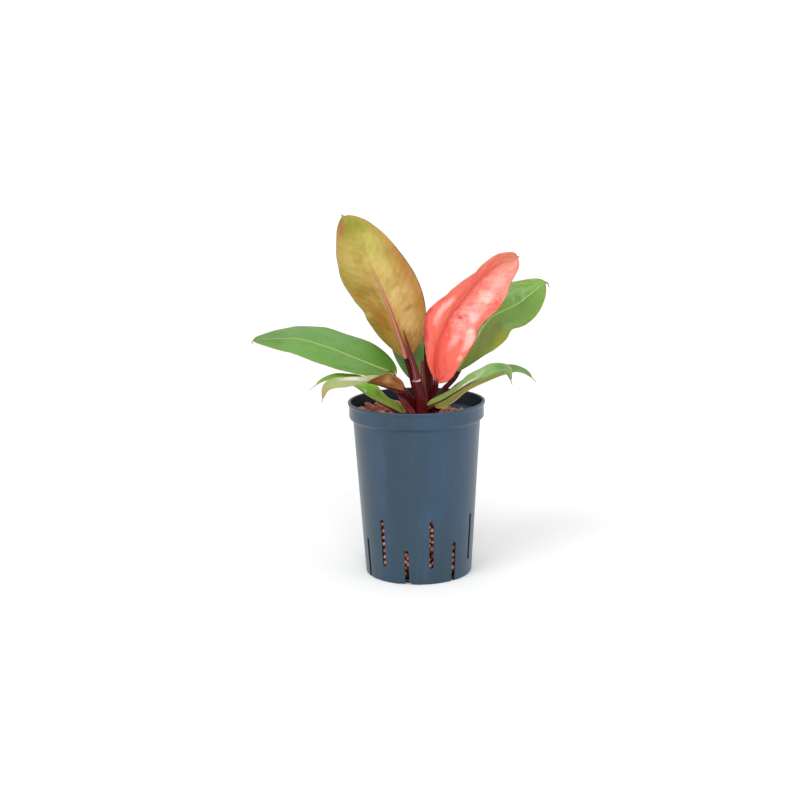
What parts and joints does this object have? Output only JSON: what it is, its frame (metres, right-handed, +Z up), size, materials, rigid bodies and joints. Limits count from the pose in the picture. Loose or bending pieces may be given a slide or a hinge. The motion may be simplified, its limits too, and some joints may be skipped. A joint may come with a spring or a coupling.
{
  "type": "potted prince of orange philodendron",
  "caption": "Young rosette of broad glossy leaves, orange to green, on dark red petioles, standing in clay pebbles in a tall slotted round culture pot.",
  "frame": {"origin": "middle of the pot's underside, on the surface it stands on", "axes": "+Z up, -Y towards the viewer of the picture, +X to the viewer's right"},
  "size_m": [0.3294, 0.1677, 0.3966],
  "materials": {
    "pot": "satin blue-grey plastic with faint upright flow streaks",
    "clay": "rough red-brown expanded clay",
    "petiole": "glossy dark red plant stem",
    "sheath": "dry pink-brown sheath",
    "root": "dull root",
    "leaf_amber": "satin olive and amber leaf",
    "leaf_salmon": "glossy salmon leaf",
    "leaf_green": "glossy mid green leaf with a pale midrib",
    "leaf_bronze": "glossy leaf, bronze beneath and pale green above"
  },
  "bodies": {
    "root": {"pot": "pot", "clay_pebbles": "clay", "stem_and_petioles": "petiole", "new_leaf_spear": "petiole", "sheath_long": "sheath", "sheath_front": "sheath", "sheath_small": "sheath", "sheath_pointed": "sheath", "root_tip": "root", "leaf_amber_tall": "leaf_amber", "leaf_salmon": "leaf_salmon", "leaf_green_right": "leaf_green", "leaf_green_left": "leaf_green", "leaf_bronze_low_left": "leaf_bronze", "leaf_narrow_left": "leaf_green", "leaf_low_right_front": "leaf_green", "leaf_low_right_back": "leaf_green", "leaf_green_back": "leaf_green"}
  },
  "joints": []
}
